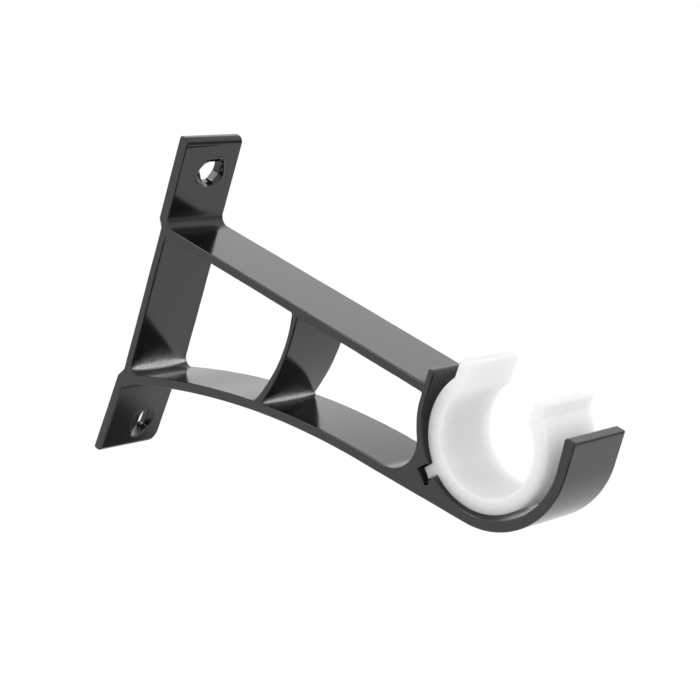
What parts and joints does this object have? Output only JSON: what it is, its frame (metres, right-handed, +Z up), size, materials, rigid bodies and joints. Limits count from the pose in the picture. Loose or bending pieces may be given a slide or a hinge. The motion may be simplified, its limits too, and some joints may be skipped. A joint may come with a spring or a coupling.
{
  "type": "curtain pole bracket",
  "caption": "Wall bracket with a screw plate, a strutted arched arm and an open cradle whose plastic liner holds a round curtain pole.",
  "frame": {"origin": "on the wall face of the top tab, in the middle of the bracket's width, halfway between the arm's upper face and the top screw hole", "axes": "+X from the wall into the room, +Y along the pole, +Z up"},
  "size_m": [0.1338, 0.02, 0.0885],
  "materials": {
    "bracket_body": "gloss black coating",
    "pole_liner": "natural white moulded nylon"
  },
  "bodies": {
    "root": {"bracket_body": "bracket_body", "pole_liner": "pole_liner"}
  },
  "joints": []
}
